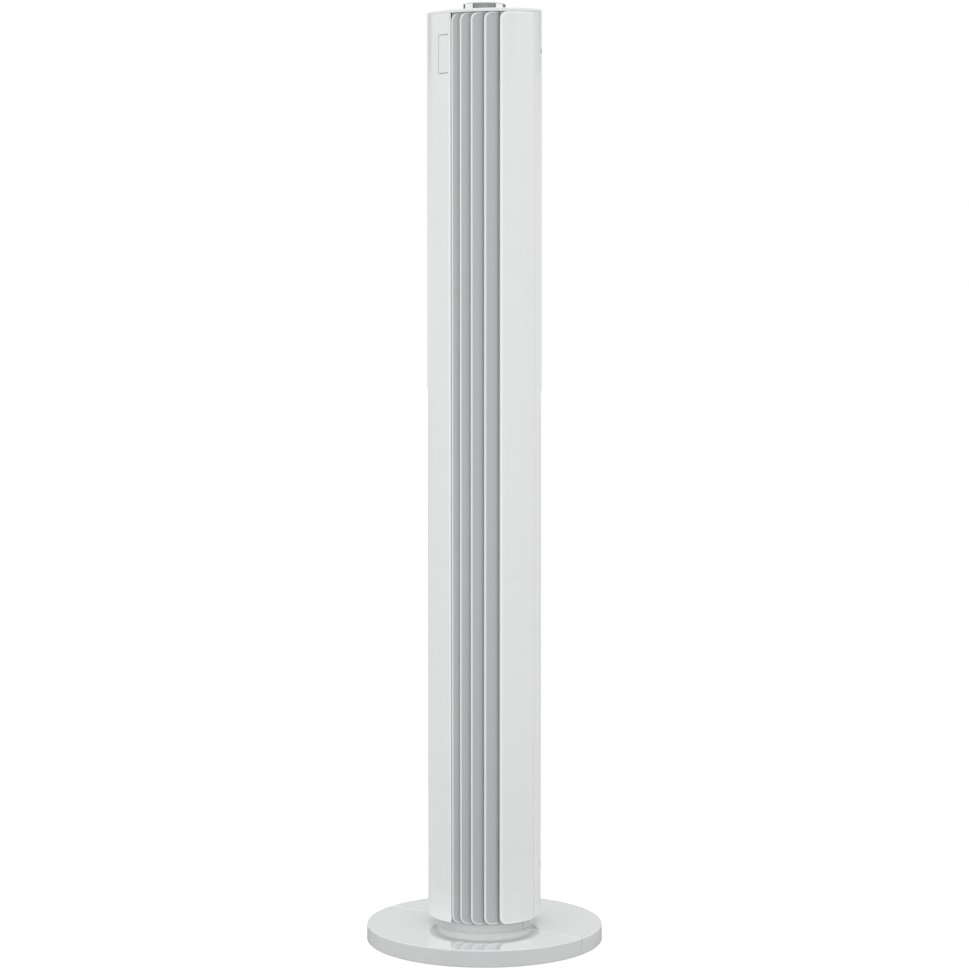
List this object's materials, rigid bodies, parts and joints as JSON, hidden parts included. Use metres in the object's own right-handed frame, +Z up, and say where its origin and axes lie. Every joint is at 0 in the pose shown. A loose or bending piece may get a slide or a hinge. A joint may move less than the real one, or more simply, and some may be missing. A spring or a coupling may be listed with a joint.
{
  "type": "tower fan",
  "caption": "Slim white column fan with curved upright outlet slats, a round turning dial on its sloping top and a thin round base it swings on.",
  "frame": {"origin": "on the floor under the column's axis, at the centre of the round base", "axes": "+Z up along the column, -Y towards the front, +X to the right seen from the front's own side"},
  "size_m": [0.254, 0.254, 1],
  "materials": {
    "white_plastic": "gloss white moulding",
    "slat_plastic": "satin pale grey moulding",
    "dark_plastic": "matt",
    "frame_plastic": "matt",
    "plated_steel": "zinc plated",
    "chrome": "polished",
    "rubber": "matt",
    "acetal": "smooth",
    "sintered_bronze": "satin",
    "board": "lacquered"
  },
  "bodies": {
    "stand": {"base_front": "white_plastic", "base_rear": "white_plastic", "base_cover": "dark_plastic", "ballast_plate": "plated_steel", "rubber_feet": "rubber", "base_screws": "plated_steel", "swivel_hub": "frame_plastic", "hub_screws": "plated_steel", "thrust_ring": "acetal", "hub_washer": "plated_steel", "fixed_gear": "acetal", "hub_nut": "plated_steel", "cord_gland": "rubber"},
    "column": {"column_foot": "frame_plastic", "pivot_bush": "acetal", "motor_plate": "frame_plastic", "upper_plate": "frame_plastic", "front_panel": "white_plastic", "side_panel": "white_plastic", "slat_1": "slat_plastic", "slat_2": "slat_plastic", "slat_3": "slat_plastic", "slat_4": "slat_plastic", "slat_combs": "frame_plastic", "slat_tabs": "slat_plastic", "end_liners": "frame_plastic", "rear_shell": "white_plastic", "shell_screws": "plated_steel", "duct_tongue": "frame_plastic", "duct_guide": "frame_plastic", "fan_motor": "plated_steel", "motor_damper": "rubber", "swing_motor": "plated_steel", "main_board": "board", "axle_bush": "sintered_bronze", "top_cap": "white_plastic", "dial_bezel": "chrome", "control_board": "board", "dial_encoder": "dark_plastic", "display_window": "white_plastic", "display_board": "board"},
    "impeller": {"air_wheel": "dark_plastic", "drive_shaft": "plated_steel", "wheel_coupling": "rubber", "wheel_axle": "plated_steel"},
    "pinion": {"swing_pinion": "acetal"},
    "dial": {"speed_dial": "chrome"},
    "button": {"power_button": "white_plastic"}
  },
  "joints": [
    {"name": "column_swing", "type": "hinge", "parent": "stand", "child": "column", "pos_m": [0, 0, 0.035], "axis": [0, 0, 1], "range_deg": [-45, 45]},
    {"name": "wheel_spin", "type": "hinge", "parent": "column", "child": "impeller", "pos_m": [-0.007, 0.01, 0.13], "axis": [0, 0, 1], "continuous": true},
    {"name": "pinion_turn", "type": "hinge", "parent": "column", "child": "pinion", "pos_m": [0, 0.032, 0.045], "axis": [0, 0, 1], "range_deg": [-135, 135]},
    {"name": "dial_turn", "type": "hinge", "parent": "column", "child": "dial", "pos_m": [0, 0, 0.99], "axis": [0, 0, 1], "range_deg": [-120, 0]},
    {"name": "button_press", "type": "slide", "parent": "column", "child": "button", "axis": [0, 0, -1], "range_m": [0, 0.0012], "stiffness_N_per_m": 400, "springref_m": -0.001}
  ],
  "couplings": [
    {"joint": "pinion_turn", "follows": "column_swing", "ratio": 3}
  ]
}
